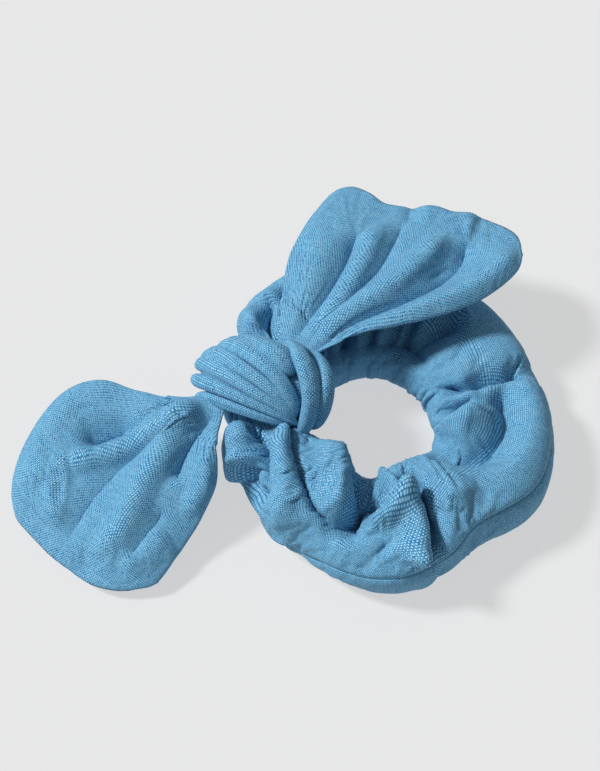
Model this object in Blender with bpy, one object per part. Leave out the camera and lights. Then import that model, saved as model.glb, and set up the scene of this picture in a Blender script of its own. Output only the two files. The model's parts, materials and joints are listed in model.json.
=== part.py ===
"""Bow scrunchie: a gathered fabric tube on a flat elastic, with a knotted two-ear tie.

Run with: blender --background --python part.py

Every driving dimension is in millimetres, and MM turns it into Blender's metres.
The ring is drawn round its own hole, then the whole object is moved so that its
origin is the centre of its footprint on the table.
"""

import math

import bmesh
import bpy
from mathutils import Matrix, Vector

MM = 0.001
GAP = 0.35  # clearance between pieces that touch on the real object
CLOTH = 1.0  # thickness of the gathered cloth walls

# Ring cover: outer and hole radius at compass stations, in degrees from +X.
RING_OUTER = [(0, 57.0), (53, 61.0), (95, 65.0), (120, 67.5), (141, 62.0), (163, 50.0),
              (205, 46.5), (240, 47.5), (275, 54.0), (295, 52.0), (310, 50.0), (333, 56.5)]
RING_HOLE = [(0, 18.5), (45, 21.0), (90, 24.0), (130, 24.5), (163, 25.5),
             (200, 16.5), (225, 13.5), (270, 15.0), (316, 16.0)]
RING_HEIGHT = 28.0
PUFF = 1.2  # height of the soft gathers on the top of the ring
PUFF_SIDE = 0.7  # and their depth in the walls
PUFF_COUNT = 11
SECTION_POWER = 2.6  # superellipse power of the tube's section
STEPS_ROUND = 66
STEPS_SECTION = 15

# The neck where the tie grips the ring.
KNOT_ANGLE = 163.0
NECK_HALF = 15.0  # degrees each way at the full squeeze
NECK_BLEND = 36.0  # degrees from the knot where the tube is full again
NECK_WIDTH = 20.0
NECK_BASE = 4.6
NECK_HEIGHT = 16.0
NECK_RADIUS = 36.5

# Long seam on the outer side of the tube, and the seam that closes it under the knot.
SEAM_HEIGHT = 11.0
SEAM_GAP = 1.2
SEAM_ALLOWANCE = 5.0
THREAD_RADIUS = 0.25
END_GAP = 1.2

# Elastic: a flat strip inside the tube with its two ends lapped and zigzagged.
ELASTIC_WIDTH = 6.0
ELASTIC_THICK = 1.0
ELASTIC_INSET = 3.2  # strip's middle, in from the hole's wall
ELASTIC_MID = 13.0
LAP_START = -12.0
LAP_DEGREES = 30.0
LAP_STEP = ELASTIC_THICK + GAP
ZIGZAGS = 4

# Tie: back loop under the neck, and the knot on top of it.
LOOP_HALF = 7.5
LOOP_THICK = 3.8
LOOP_TOP = 22.3
KNOT_RADIAL = 24.5
KNOT_TANGENT = 12.5
KNOT_RISE = 12.5
KNOT_MID = 30.0
KNOT_PLEATS = 5
PLEAT_DEPTH = 0.09

# Necks of the two ears: pivot in the knot's own frame (radial, tangent, height).
NECK_LENGTH = 9.0  # from the swing axis to the lift axis
NECK_ROOT = 6.0
NECK_END_HALF = 8.5
NECK_THICK = 6.5
SWING_LIMIT = 25.0
MOUTH_FLARE = 16.0  # degrees more than the swing on each side, for the neck's own spread
HINGE_CLEAR = 4.5  # the ears start this far from their lift axis


class Ear:
    """One ear of the tie: where it leaves the knot, its outline and its lie."""

    def __init__(self, name, pivot, heading, length, corner_cuts, crown, outline, lie):
        self.name = name
        self.pivot = pivot
        self.heading = heading
        self.length = length
        self.corner_cuts = corner_cuts
        self.crown = crown
        self.outline = outline
        self.lie = lie


# Pivot: radial, tangent and height in the knot's own frame. Corner cuts: left, right.
# Outline stations: share of the length, half width on the left, half width on the right.
# Lie stations: share of the length, height at the left edge, middle and right edge.
UPPER = Ear(
    "upper", pivot=(-5.0, -7.0, 33.5), heading=49.5, length=68.0, corner_cuts=(12.0, 4.0), crown=6.0,
    outline=[(0.0, 11.0, 9.0), (0.15, 20.0, 14.0), (0.35, 27.5, 21.0), (0.6, 31.0, 27.0),
             (0.85, 32.5, 31.0), (1.0, 31.5, 31.0)],
    lie=[(0.0, 0.0, 0.0, 0.0), (0.5, 1.5, 2.5, 3.0), (1.0, -2.0, 1.0, 4.0)])
LOWER = Ear(
    "lower", pivot=(12.0, 5.0, 26.2), heading=223.5, length=65.0, corner_cuts=(15.0, 6.0), crown=7.0,
    outline=[(0.0, 9.0, 13.0), (0.08, 12.5, 21.0), (0.3, 19.0, 34.0), (0.6, 25.5, 37.0),
             (0.85, 28.0, 33.0), (1.0, 27.0, 29.0)],
    lie=[(0.0, 0.0, 0.0, 0.0), (0.25, -4.0, -3.0, -4.0), (0.6, -14.0, -11.5, -13.0),
         (1.0, -21.5, -21.0, -22.5)])
EAR_STEPS = 12
EAR_ACROSS = 12
RIM_HALF_GAP = 0.6
BACK_CROWN_SHARE = 0.25
EAR_SEAM_INSET = 0.93


# --- small helpers -------------------------------------------------------------

def smooth(x):
    x = min(1.0, max(0.0, x))
    return x * x * (3 - 2 * x)


def round_lookup(stations, degrees):
    """Periodic smooth value between compass stations."""
    turn = (degrees - stations[0][0]) % 360 + stations[0][0]
    for (a0, v0), (a1, v1) in zip(stations, stations[1:] + [(stations[0][0] + 360, stations[0][1])]):
        if a0 <= turn <= a1:
            return v0 + (v1 - v0) * smooth((turn - a0) / (a1 - a0))
    return stations[0][1]


def line_lookup(stations, share):
    """Each value of the stations at this share, joined by a smooth cubic through them."""
    xs = [s[0] for s in stations]
    last = len(xs) - 2
    i = max(0, min(last, sum(share >= x for x in xs) - 1))
    x0, x1 = xs[i], xs[i + 1]
    t = (share - x0) / (x1 - x0)
    values = []
    for k in range(1, len(stations[0])):
        before = stations[max(0, i - 1)]
        after = stations[min(len(xs) - 1, i + 2)]
        v0, v1 = stations[i][k], stations[i + 1][k]
        m0 = (v1 - before[k]) / (x1 - before[0]) * (x1 - x0) if i > 0 else v1 - v0
        m1 = (after[k] - v0) / (after[0] - x0) * (x1 - x0) if i < last else v1 - v0
        values.append((2 * t**3 - 3 * t**2 + 1) * v0 + (t**3 - 2 * t**2 + t) * m0
                      + (3 * t**2 - 2 * t**3) * v1 + (t**3 - t**2) * m1)
    return values


def polar(radius, degrees, z):
    angle = math.radians(degrees)
    return Vector((radius * math.cos(angle), radius * math.sin(angle), z))


def material(name, colour, roughness):
    made = bpy.data.materials.new(name)
    made.use_nodes = True
    shader = made.node_tree.nodes["Principled BSDF"]
    shader.inputs["Base Color"].default_value = (*colour, 1.0)
    shader.inputs["Roughness"].default_value = roughness
    shader.inputs["Metallic"].default_value = 0.0
    made.diffuse_color = (*colour, 1.0)
    return made


def add_object(name, points, faces, parent, finish):
    """A closed mesh object. Its points are in millimetres, in its parent's frame."""
    mesh = bpy.data.meshes.new(name)
    mesh.from_pydata([Vector(p) * MM for p in points], [], faces)
    builder = bmesh.new()
    builder.from_mesh(mesh)
    bmesh.ops.recalc_face_normals(builder, faces=builder.faces)
    builder.to_mesh(mesh)
    builder.free()
    mesh.shade_smooth()
    mesh.set_sharp_from_angle(angle=math.radians(35))
    mesh.materials.append(finish)
    made = bpy.data.objects.new(name, mesh)
    bpy.context.scene.collection.objects.link(made)
    made.parent = parent
    return made


def add_empty(name, parent, place, heading=0.0):
    made = bpy.data.objects.new(name, None)
    bpy.context.scene.collection.objects.link(made)
    made.parent = parent
    made.location = Vector(place) * MM
    made.rotation_euler = (0.0, 0.0, math.radians(heading))
    return made


def loft(sections, joined=False):
    """(points, faces) through closed sections of equal count, capped unless joined end to end."""
    count = len(sections[0])
    points = [p for section in sections for p in section]
    faces = []
    for i in range(len(sections) if joined else len(sections) - 1):
        j = (i + 1) % len(sections)
        for k in range(count):
            m = (k + 1) % count
            faces.append((i * count + k, i * count + m, j * count + m, j * count + k))
    if not joined:
        faces.append(tuple(range(count)))
        faces.append(tuple(range((len(sections) - 1) * count, len(sections) * count)))
    return points, faces


def loft_strips(strips):
    """loft() for sections that are thin strips, given as (one side, other side) point lists.

    The ends are capped by a row of quads between the two sides, because such a cap is concave.
    """
    sections = [one + list(reversed(other)) for one, other in strips]
    count = len(sections[0])
    points, faces = loft(sections)
    faces = faces[:-2]
    for start in (0, (len(sections) - 1) * count):
        for k in range(count // 2 - 1):
            faces.append((start + k, start + k + 1, start + count - 2 - k, start + count - 1 - k))
    return points, faces


def tube(path, radius, sides=6):
    """(points, faces) of a round thread along a path."""
    sections = []
    side = (path[1] - path[0]).orthogonal()
    for i, place in enumerate(path):
        ahead = (path[min(i + 1, len(path) - 1)] - path[max(i - 1, 0)]).normalized()
        side = (side - ahead * side.dot(ahead)).normalized()
        other = ahead.cross(side)
        sections.append([place + radius * (side * math.cos(a) + other * math.sin(a))
                         for a in (2 * math.pi * k / sides for k in range(sides))])
    return loft(sections)


# --- the ring ------------------------------------------------------------------

def squeeze(degrees):
    """1 in the neck under the knot, 0 where the tube is full."""
    away = abs((degrees - KNOT_ANGLE + 180) % 360 - 180)
    return 1 - smooth((away - NECK_HALF) / (NECK_BLEND - NECK_HALF))


def tube_box(degrees):
    """(hole radius, outer radius, base, height) of the tube at this angle."""
    tight = squeeze(degrees)
    wave = math.cos(math.radians(PUFF_COUNT * degrees))
    full = (round_lookup(RING_HOLE, degrees) - PUFF_SIDE * wave,
            round_lookup(RING_OUTER, degrees) + PUFF_SIDE * wave, 0.0, RING_HEIGHT + PUFF * wave)
    neck = (NECK_RADIUS - NECK_WIDTH / 2, NECK_RADIUS + NECK_WIDTH / 2, NECK_BASE, NECK_HEIGHT)
    return [f + (n - f) * tight for f, n in zip(full, neck)]


def tube_outline(degrees, grow=0.0, seam=SEAM_GAP):
    """(r, z) points of the tube's skin from the seam's upper lip over the top to its lower lip."""
    hole, outer, base, height = tube_box(degrees)
    middle, half = (hole + outer) / 2, (outer - hole) / 2
    flat = 2.0 * (1 - squeeze(degrees))  # this much of the section's foot is pressed flat
    centre, rise = base + (height - flat) / 2, (height + flat) / 2
    lip = math.asin(min(1.0, (SEAM_HEIGHT + seam / 2 - centre) / rise)) if seam else 0.0
    lower = math.asin((SEAM_HEIGHT - seam / 2 - centre) / rise) if seam else 0.0
    outline = []
    for k in range(STEPS_SECTION + 1):
        angle = lip + (2 * math.pi + lower - lip) * k / STEPS_SECTION
        c, s = math.cos(angle), math.sin(angle)
        r = middle + math.copysign(abs(c) ** (2 / SECTION_POWER), c) * (half + grow)
        z = centre + math.copysign(abs(s) ** (2 / SECTION_POWER), s) * (rise + grow)
        outline.append((r, max(z, base - grow)))
    return outline


def cover_strip(degrees):
    """The cover's section: the cloth strip with its two edges turned in at the seam."""
    skin = tube_outline(degrees)
    high, low = SEAM_HEIGHT + SEAM_GAP / 2, SEAM_HEIGHT - SEAM_GAP / 2
    lip = min(skin[0][0], skin[-1][0])
    outside = [(lip - SEAM_ALLOWANCE, high), (lip, high), *skin[1:-1], (lip, low), (lip - SEAM_ALLOWANCE, low)]
    inside = [(lip - SEAM_ALLOWANCE, high + CLOTH), (lip - CLOTH, high + CLOTH)]
    for before, here, after in zip(skin, skin[1:], skin[2:]):
        along = Vector((after[0] - before[0], after[1] - before[1])).normalized()
        inside.append((here[0] - along[1] * CLOTH, here[1] + along[0] * CLOTH))
    inside += [(lip - CLOTH, low - CLOTH), (lip - SEAM_ALLOWANCE, low - CLOTH)]
    return outside, inside


def round_angles(start, end, steps):
    return [start + (end - start) * k / steps for k in range(steps + 1)]


def ring_cover(parent, finish):
    half_gap = math.degrees(END_GAP / 2 / NECK_RADIUS)
    strips = []
    for angle in round_angles(KNOT_ANGLE + half_gap, KNOT_ANGLE + 360 - half_gap, STEPS_ROUND):
        outside, inside = cover_strip(angle)
        strips.append(([polar(r, angle, z) for r, z in outside], [polar(r, angle, z) for r, z in inside]))
    add_object("ring_cover", *loft_strips(strips), parent, finish)


def seam_threads(parent, finish):
    """The thread of the long seam, and the one that joins the tube's two ends."""
    path = []
    for angle in round_angles(KNOT_ANGLE + 3, KNOT_ANGLE + 357, STEPS_ROUND):
        lip = tube_outline(angle)[0][0]
        path.append(polar(lip - SEAM_ALLOWANCE / 2, angle, SEAM_HEIGHT))
    add_object("ring_seam_thread", *tube(path, THREAD_RADIUS), parent, finish)
    outside, inside = cover_strip(KNOT_ANGLE)
    middle = [polar((a[0] + b[0]) / 2, KNOT_ANGLE, (a[1] + b[1]) / 2) for a, b in zip(outside, inside)]
    add_object("ring_closing_thread", *tube(middle[1:-1], THREAD_RADIUS), parent, finish)


def elastic_middle(angle, layer):
    """The elastic strip's middle radius. layer is 0 on the first turn and 1 on the lap."""
    tight = squeeze(angle)
    hole = round_lookup(RING_HOLE, angle) * (1 - tight) + (NECK_RADIUS - NECK_WIDTH / 2) * tight
    return hole + ELASTIC_INSET + layer * LAP_STEP


def elastic(parent, band_finish, thread_finish):
    """A flat strip once round, whose end laps over its start, and the zigzag that holds the lap."""
    sections = []
    for angle in round_angles(LAP_START, LAP_START + 360 + LAP_DEGREES, STEPS_ROUND):
        layer = smooth((angle - (LAP_START + 330)) / 27)
        r = elastic_middle(angle, layer)
        sections.append([polar(r + dr, angle, ELASTIC_MID + dz)
                         for dr, dz in ((-ELASTIC_THICK / 2, -ELASTIC_WIDTH / 2),
                                        (ELASTIC_THICK / 2, -ELASTIC_WIDTH / 2),
                                        (ELASTIC_THICK / 2, ELASTIC_WIDTH / 2),
                                        (-ELASTIC_THICK / 2, ELASTIC_WIDTH / 2))])
    add_object("elastic_band", *loft(sections), parent, band_finish)
    reach = ELASTIC_WIDTH / 2 - 0.8
    path = []
    for k in range(6 * ZIGZAGS + 1):
        angle = LAP_START + 5 + (LAP_DEGREES - 10) * k / (6 * ZIGZAGS)
        r = elastic_middle(angle, 1) + ELASTIC_THICK / 2 + GAP + THREAD_RADIUS
        path.append(polar(r, angle, ELASTIC_MID + reach * math.sin(2 * math.pi * k / 6)))
    add_object("elastic_lap_stitches", *tube(path, THREAD_RADIUS), parent, thread_finish)


# --- the tie -------------------------------------------------------------------

def knot_frame():
    """Matrix from the knot's frame (radial, tangent, up) to the ring's, in millimetres."""
    angle = math.radians(KNOT_ANGLE)
    radial = Vector((math.cos(angle), math.sin(angle), 0))
    tangent = Vector((-math.sin(angle), math.cos(angle), 0))
    turn = Matrix((radial, tangent, Vector((0, 0, 1)))).transposed().to_4x4()
    return Matrix.Translation(radial * NECK_RADIUS) @ turn


def back_loop(parent, finish):
    """The part of the tie that passes under the ring's neck, a flat strap bent to a U."""
    half = LOOP_THICK / 2
    skin = tube_outline(KNOT_ANGLE, 2 * GAP + half, seam=0.0)
    under = sorted((p for p in skin if p[1] < NECK_BASE + NECK_HEIGHT / 2), key=lambda p: p[0])
    path = [(under[0][0], LOOP_TOP), *under, (under[-1][0], LOOP_TOP)]
    sections = []
    for i, (r, z) in enumerate(path):
        before, after = path[max(i - 1, 0)], path[min(i + 1, len(path) - 1)]
        along = Vector((after[0] - before[0], after[1] - before[1])).normalized()
        section = []
        for across, out in ((-1, -0.4), (-0.8, -1), (0.8, -1), (1, -0.4), (1, 0.4), (0.8, 1), (-0.8, 1), (-1, 0.4)):
            turn = KNOT_ANGLE + math.degrees(across * LOOP_HALF / NECK_RADIUS)
            section.append(polar(r + along[1] * out * half, turn, z - along[0] * out * half))
        sections.append(section)
    loop = add_object("tie_back_loop", *loft(sections), parent, finish)
    cut = loop.modifiers.new("under_the_knot", "BOOLEAN")
    cut.operation = "DIFFERENCE"
    cut.object = as_cutter(add_object("cutter_knot", *knot_ball(GAP), parent, None))


def neck_channel(parent):
    """Cutter: the ring's neck with its clearance, for the knot that sits over it."""
    sections = []
    for angle in round_angles(KNOT_ANGLE - 30, KNOT_ANGLE + 30, 12):
        sections.append([polar(r, angle, z) for r, z in tube_outline(KNOT_ANGLE, GAP, seam=0.0)[:-1]])
    return as_cutter(add_object("cutter_neck", *loft(sections), parent, None))


def as_cutter(made):
    made.hide_render = True
    made.display_type = "WIRE"
    return made


def mouth_cutter(ear, parent):
    """Cutter: the room that an ear's neck needs in the knot through its whole swing."""
    x, y, z = ear.pivot
    centre = knot_frame() @ Vector((x, y, z))
    back = 180 - 90 - SWING_LIMIT - MOUTH_FLARE
    outline = []
    for angle in round_angles(180 - back, 180 + back, 8):
        outline.append(polar(NECK_ROOT + 2 * GAP, ear.heading + angle, 0))
    for side, tangent in ((-1, outline[-1]), (1, outline[0])):
        outline.append(tangent + polar(30, ear.heading + side * (SWING_LIMIT + MOUTH_FLARE), 0))
    half = NECK_THICK / 2 + GAP
    layers = [[centre + p + Vector((0, 0, h)) for p in outline] for h in (-half, half)]
    return as_cutter(add_object(f"cutter_{ear.name}_mouth", *loft(layers), parent, None))


def knot_ball(grow=0.0):
    """(points, faces) of a flattened ball with pleats that run round its tangent axis."""
    frame = knot_frame()
    rows, columns = 6 * KNOT_PLEATS, 24
    points, faces = [], []
    for i in range(1, rows):
        share = i / rows
        lean = (2 * share - 1) * math.pi / 2
        size = math.cos(lean) ** 0.8
        if not grow:
            size *= 1 - PLEAT_DEPTH * (1 + math.cos(2 * math.pi * KNOT_PLEATS * share)) / 2
        for k in range(columns):
            turn = 2 * math.pi * k / columns
            points.append(frame @ Vector(((size * KNOT_RADIAL + grow) * math.cos(turn),
                                          math.sin(lean) * (KNOT_TANGENT + grow),
                                          KNOT_MID + (size * KNOT_RISE + grow) * math.sin(turn))))
    for i in range(rows - 2):
        for k in range(columns):
            m = (k + 1) % columns
            faces.append((i * columns + k, i * columns + m, (i + 1) * columns + m, (i + 1) * columns + k))
    for side, start in ((-1, 0), (1, (rows - 2) * columns)):
        tip = len(points)
        points.append(frame @ Vector((0, side * (KNOT_TANGENT + grow), KNOT_MID)))
        faces += [(start + k, start + (k + 1) % columns, tip) for k in range(columns)]
    return points, faces


def knot(parent, finish):
    """The pleated wrap on top, hollowed for the ring's neck and for the necks of the ears."""
    wrap = add_object("tie_knot_wrap", *knot_ball(), parent, finish)
    for cutter in (neck_channel(parent), mouth_cutter(UPPER, parent), mouth_cutter(LOWER, parent)):
        cut = wrap.modifiers.new(cutter.name, "BOOLEAN")
        cut.operation = "DIFFERENCE"
        cut.object = cutter


def neck(ear, parent, finish):
    """The gathered neck of an ear. It swings in the knot, and its round end carries the ear."""
    half = NECK_THICK / 2
    outline = []
    for k in range(9):
        turn = math.pi / 2 + math.pi * k / 8
        outline.append((NECK_ROOT * math.cos(turn), NECK_ROOT * math.sin(turn)))
    sections = []
    columns = sorted({round(x, 6) for x, _ in outline}) + [3.0, 6.0, NECK_LENGTH]
    for x in columns:
        if x <= 0:
            width = math.sqrt(max(NECK_ROOT**2 - x * x, 0.3))
        else:
            width = NECK_ROOT + (NECK_END_HALF - NECK_ROOT) * smooth(x / NECK_LENGTH)
        sections.append((x, width, half))
    for k in range(1, 5):
        turn = math.pi / 2 * k / 4
        sections.append((NECK_LENGTH + half * math.sin(turn), NECK_END_HALF, max(half * math.cos(turn), 0.4)))
    rings = []
    for x, width, rise in sections:
        corner = min(0.35 * width, 0.6 * rise)
        ring = []
        for sy, sz in ((1, 1), (-1, 1), (-1, -1), (1, -1)):
            first, second = (0.0, corner), (corner, 0.0)
            pair = [first, second] if sy * sz > 0 else [second, first]
            for cut_y, cut_z in pair:
                ring.append(Vector((x, sy * (width - cut_y), sz * (rise - cut_z))))
        rings.append(ring)
    add_object(f"tie_{ear.name}_neck", *loft(rings), parent, finish)


def ear_middle(ear, share, across):
    """(x, y, z) on the ear's middle surface. across runs from -1, right edge, to 1, left edge."""
    left, right = line_lookup(ear.outline, share)
    edge_left, centre, edge_right = line_lookup(ear.lie, share)
    length = ear.length - ear.corner_cuts[0 if across > 0 else 1] * abs(across) ** 2.5
    x = HINGE_CLEAR + (length - HINGE_CLEAR) * share
    y = across * (left if across > 0 else right)
    edge = edge_left if across > 0 else edge_right
    return x, y, centre + (edge - centre) * across * across


def ear_crown(ear, share, across):
    """How far the face panel stands off the middle surface."""
    along = math.sin(math.pi * min(1.0, 0.22 + 0.78 * share)) ** 0.7 if share < 1 else 0.0
    return ear.crown * along * (1 - across * across) ** 0.7


def ear_panel(ear, parent, finish, side, name):
    """The face panel (side 1) or the back panel (side -1)."""
    grids = []
    for layer in (0.0, CLOTH):
        grid = []
        for i in range(EAR_STEPS + 1):
            for j in range(EAR_ACROSS + 1):
                share, across = i / EAR_STEPS, -1 + 2 * j / EAR_ACROSS
                x, y, z = ear_middle(ear, share, across)
                rise = ear_crown(ear, share, across) * (1.0 if side > 0 else BACK_CROWN_SHARE)
                grid.append(Vector((x, y, z + side * (RIM_HALF_GAP + rise + layer))))
        grids.append(grid)
    width = EAR_ACROSS + 1
    count = len(grids[0])
    faces = []
    for i in range(EAR_STEPS):
        for j in range(EAR_ACROSS):
            a, b, c, d = i * width + j, i * width + j + 1, (i + 1) * width + j + 1, (i + 1) * width + j
            faces += [(a, b, c, d), (a + count, d + count, c + count, b + count)]
    rim = [j for j in range(width)]
    rim += [i * width + EAR_ACROSS for i in range(1, EAR_STEPS + 1)]
    rim += [EAR_STEPS * width + j for j in range(EAR_ACROSS - 1, -1, -1)]
    rim += [i * width for i in range(EAR_STEPS - 1, 0, -1)]
    for a, b in zip(rim, rim[1:] + rim[:1]):
        faces.append((a, b, b + count, a + count))
    add_object(name, grids[0] + grids[1], faces, parent, finish)


def ear_seam(ear, parent, finish):
    """The thread that joins the two panels, just inside the ear's edge."""
    path = []
    for k in range(13):
        path.append((0.04 + 0.90 * k / 12, -EAR_SEAM_INSET))
    for k in range(1, 12):
        path.append((0.96, EAR_SEAM_INSET * (-1 + 2 * k / 12)))
    for k in range(13):
        path.append((0.94 - 0.90 * k / 12, EAR_SEAM_INSET))
    places = [Vector(ear_middle(ear, share, across)) for share, across in path]
    add_object(f"{ear.name}_ear_seam_thread", *tube(places, THREAD_RADIUS), parent, finish)


def ear_pieces(ear, parent, cloth, back, thread):
    """The neck on its swing axis, and the two panels with their seam on the lift axis."""
    place = knot_frame() @ Vector(ear.pivot)
    swing = add_empty(f"{ear.name}_swing_axis", parent, place, ear.heading)
    lift = add_empty(f"{ear.name}_lift_axis", swing, (NECK_LENGTH, 0, 0))
    neck(ear, swing, cloth)
    ear_panel(ear, lift, cloth, 1, f"{ear.name}_ear_face_panel")
    ear_panel(ear, lift, back, -1, f"{ear.name}_ear_back_panel")
    ear_seam(ear, lift, thread)


# --- the whole object ----------------------------------------------------------

def centre_on_footprint(top):
    """Moves the object so that its origin is the bottom centre of its box."""
    bpy.context.view_layer.update()
    corners = []
    for made in bpy.context.scene.objects:
        if made.type == "MESH" and not made.hide_render:
            corners += [made.matrix_world @ v.co for v in made.data.vertices]
    low = Vector(min(p[k] for p in corners) for k in range(3))
    high = Vector(max(p[k] for p in corners) for k in range(3))
    top.location = (-(low[0] + high[0]) / 2, -(low[1] + high[1]) / 2, -low[2])


def main():
    for old in list(bpy.data.objects):
        bpy.data.objects.remove(old)
    cloth = material("blue_woven_cloth", (0.12, 0.31, 0.49), 0.85)
    back = material("blue_woven_cloth_back", (0.10, 0.27, 0.44), 0.88)
    thread = material("blue_thread", (0.08, 0.24, 0.42), 0.6)
    rubber = material("white_elastic", (0.85, 0.85, 0.83), 0.75)
    top = add_empty("scrunchie", None, (0, 0, 0))
    ring_cover(top, cloth)
    seam_threads(top, thread)
    elastic(top, rubber, thread)
    back_loop(top, back)
    knot(top, cloth)
    ear_pieces(UPPER, top, cloth, back, thread)
    ear_pieces(LOWER, top, cloth, back, thread)
    centre_on_footprint(top)


main()
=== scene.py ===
"""The looks of the bow scrunchie: gathered ring, knot and two sewn ears in woven cloth.

The cloth is worked out in millimetres round the ring's own hole, and place() puts it in the frame's metres.
"""

import json
import math

import bpy
import numpy as np
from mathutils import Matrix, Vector


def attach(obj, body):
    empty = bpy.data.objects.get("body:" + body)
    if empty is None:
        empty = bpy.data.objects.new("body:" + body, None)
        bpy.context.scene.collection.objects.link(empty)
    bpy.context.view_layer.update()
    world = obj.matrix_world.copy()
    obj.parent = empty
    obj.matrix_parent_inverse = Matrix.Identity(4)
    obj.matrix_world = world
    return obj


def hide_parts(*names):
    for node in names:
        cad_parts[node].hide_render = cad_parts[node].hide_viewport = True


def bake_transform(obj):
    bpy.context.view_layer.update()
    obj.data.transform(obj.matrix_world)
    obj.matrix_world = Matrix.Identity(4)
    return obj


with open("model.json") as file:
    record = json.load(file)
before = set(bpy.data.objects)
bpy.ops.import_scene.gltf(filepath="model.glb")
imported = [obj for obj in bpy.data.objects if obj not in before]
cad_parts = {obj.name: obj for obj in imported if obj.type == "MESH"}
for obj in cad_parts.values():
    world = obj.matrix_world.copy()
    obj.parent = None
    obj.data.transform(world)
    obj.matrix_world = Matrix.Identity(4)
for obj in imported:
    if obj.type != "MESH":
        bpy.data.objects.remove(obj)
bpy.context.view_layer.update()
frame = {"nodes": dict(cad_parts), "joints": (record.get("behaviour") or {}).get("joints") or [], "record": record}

MM = 0.001
JOINTS = {joint["name"]: joint for joint in frame["joints"]}
REST_POINT = next(m for m in frame["record"]["mounts"] if m["name"] == "table_rest")["pos_m"]
REST_FROM_HOLE = 38.0  # mm along X from the hole's middle to the mount table_rest
HOLE = np.array([REST_POINT[0] / MM - REST_FROM_HOLE, REST_POINT[1] / MM, 0.0])  # the hole's middle, in mm

# The knot grips the ring at this angle, with the squeezed tube's middle at this radius.
KNOT_ANGLE = 163.0
NECK_RADIUS = 36.5
RADIAL = np.array([math.cos(math.radians(KNOT_ANGLE)), math.sin(math.radians(KNOT_ANGLE)), 0.0])
TANGENT = np.array([-RADIAL[1], RADIAL[0], 0.0])
UP = np.array([0.0, 0.0, 1.0])

THREAD_PITCH = 0.46  # mm from one thread to the next, in the millimetres of the UV map
UV_PER_MM = 0.01
CLOTH_THICKNESS = 0.35  # mm
CLOTH_BENDING = 6.0
RIDGE_SHARPNESS = 2.0
CREASE_SHARPNESS = 1.35


# --- numbers -------------------------------------------------------------------

def smooth(x):
    x = np.clip(x, 0.0, 1.0)
    return x * x * (3 - 2 * x)


def through(points, count):
    """count points evenly spaced along a smooth curve through the given points."""
    p = np.array(points, float)
    guides = np.vstack([2 * p[0] - p[1], p, 2 * p[-1] - p[-2]])
    steps = 24
    t = np.linspace(0, 1, steps, endpoint=False)[:, None]
    dense = []
    for a, b, c, d in zip(guides, guides[1:], guides[2:], guides[3:]):
        dense.append(0.5 * (2 * b + (c - a) * t + (2 * a - 5 * b + 4 * c - d) * t**2
                            + (3 * b - a - 3 * c + d) * t**3))
    dense = np.vstack(dense + [guides[-2][None]])
    reach = np.r_[0, np.cumsum(np.linalg.norm(np.diff(dense, axis=0), axis=1))]
    want = np.linspace(0, reach[-1], count)
    return np.stack([np.interp(want, reach, dense[:, k]) for k in range(p.shape[1])], axis=1)


def stations(table, degrees):
    """A periodic value at these angles, through (degrees, value) stations."""
    angle = np.array([a for a, _ in table], float)
    value = np.array([v for _, v in table], float)
    angle = np.r_[angle - 360, angle, angle + 360]
    value = np.tile(value, 3)
    turn = (np.asarray(degrees, float) - angle[len(table)]) % 360 + angle[len(table)]
    i = np.clip(np.searchsorted(angle, turn, side="right") - 1, 1, len(angle) - 3)
    h = angle[i + 1] - angle[i]
    t = (turn - angle[i]) / h
    m0 = (value[i + 1] - value[i - 1]) / (angle[i + 1] - angle[i - 1]) * h
    m1 = (value[i + 2] - value[i]) / (angle[i + 2] - angle[i]) * h
    return ((2 * t**3 - 3 * t**2 + 1) * value[i] + (t**3 - 2 * t**2 + t) * m0
            + (3 * t**2 - 2 * t**3) * value[i + 1] + (t**3 - t**2) * m1)


def polar(points):
    """(degrees, radius) points as x, y."""
    return [(r * math.cos(math.radians(a)), r * math.sin(math.radians(a))) for a, r in points]


class Fold:
    """A ridge (height above 0) or a crease (below 0) along a line on the cloth, seen from above.

    lean pushes the cloth beside the line to the line's left, so that a ridge hangs over. fade is the share
    of the line over which the fold grows, and dies away again, at its ends.
    """

    STEPS = 40
    REACH = 3.5  # in widths, beyond which a fold moves nothing

    def __init__(self, height, width, points, lean=0.0, sharp=None, fade=0.25):
        self.height = height
        self.width = width
        self.path = through(points, self.STEPS)
        self.lean = lean
        self.sharp = sharp or (RIDGE_SHARPNESS if height > 0 else CREASE_SHARPNESS)
        self.fade = fade

    def weigh(self, xy):
        """(weight, left normal) of this fold at each point."""
        reach = self.REACH * self.width
        inside = (xy > self.path.min(axis=0) - reach) & (xy < self.path.max(axis=0) + reach)
        near = np.flatnonzero(inside.all(axis=1))
        start, along = self.path[:-1], np.diff(self.path, axis=0)
        away = xy[near, None] - start[None]
        t = np.clip((away * along).sum(axis=2) / (along**2).sum(axis=1), 0, 1)
        gap = np.linalg.norm(away - t[..., None] * along, axis=2)
        best = gap.argmin(axis=1)
        pick = np.arange(len(near))
        share = (best + t[pick, best]) / len(along)
        ends = smooth(share / self.fade) * smooth((1 - share) / self.fade)
        weight, left = np.zeros(len(xy)), np.zeros((len(xy), 2))
        weight[near] = np.exp(-(gap[pick, best] / self.width) ** self.sharp) * ends
        left[near] = np.stack([-along[best, 1], along[best, 0]], axis=1)
        left[near] /= np.linalg.norm(along[best], axis=1, keepdims=True)
        return weight, left


def shape(places, normals, plan, folds, mask, strength):
    """places moved by the folds, along their normals and sideways, as far as mask allows."""
    moved = places.copy()
    for fold in folds:
        weight, left = fold.weigh(plan)
        weight = weight * mask * strength
        moved += normals * (weight * fold.height)[:, None]
        moved[:, :2] += left * (weight * fold.lean)[:, None]
    return moved


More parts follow.
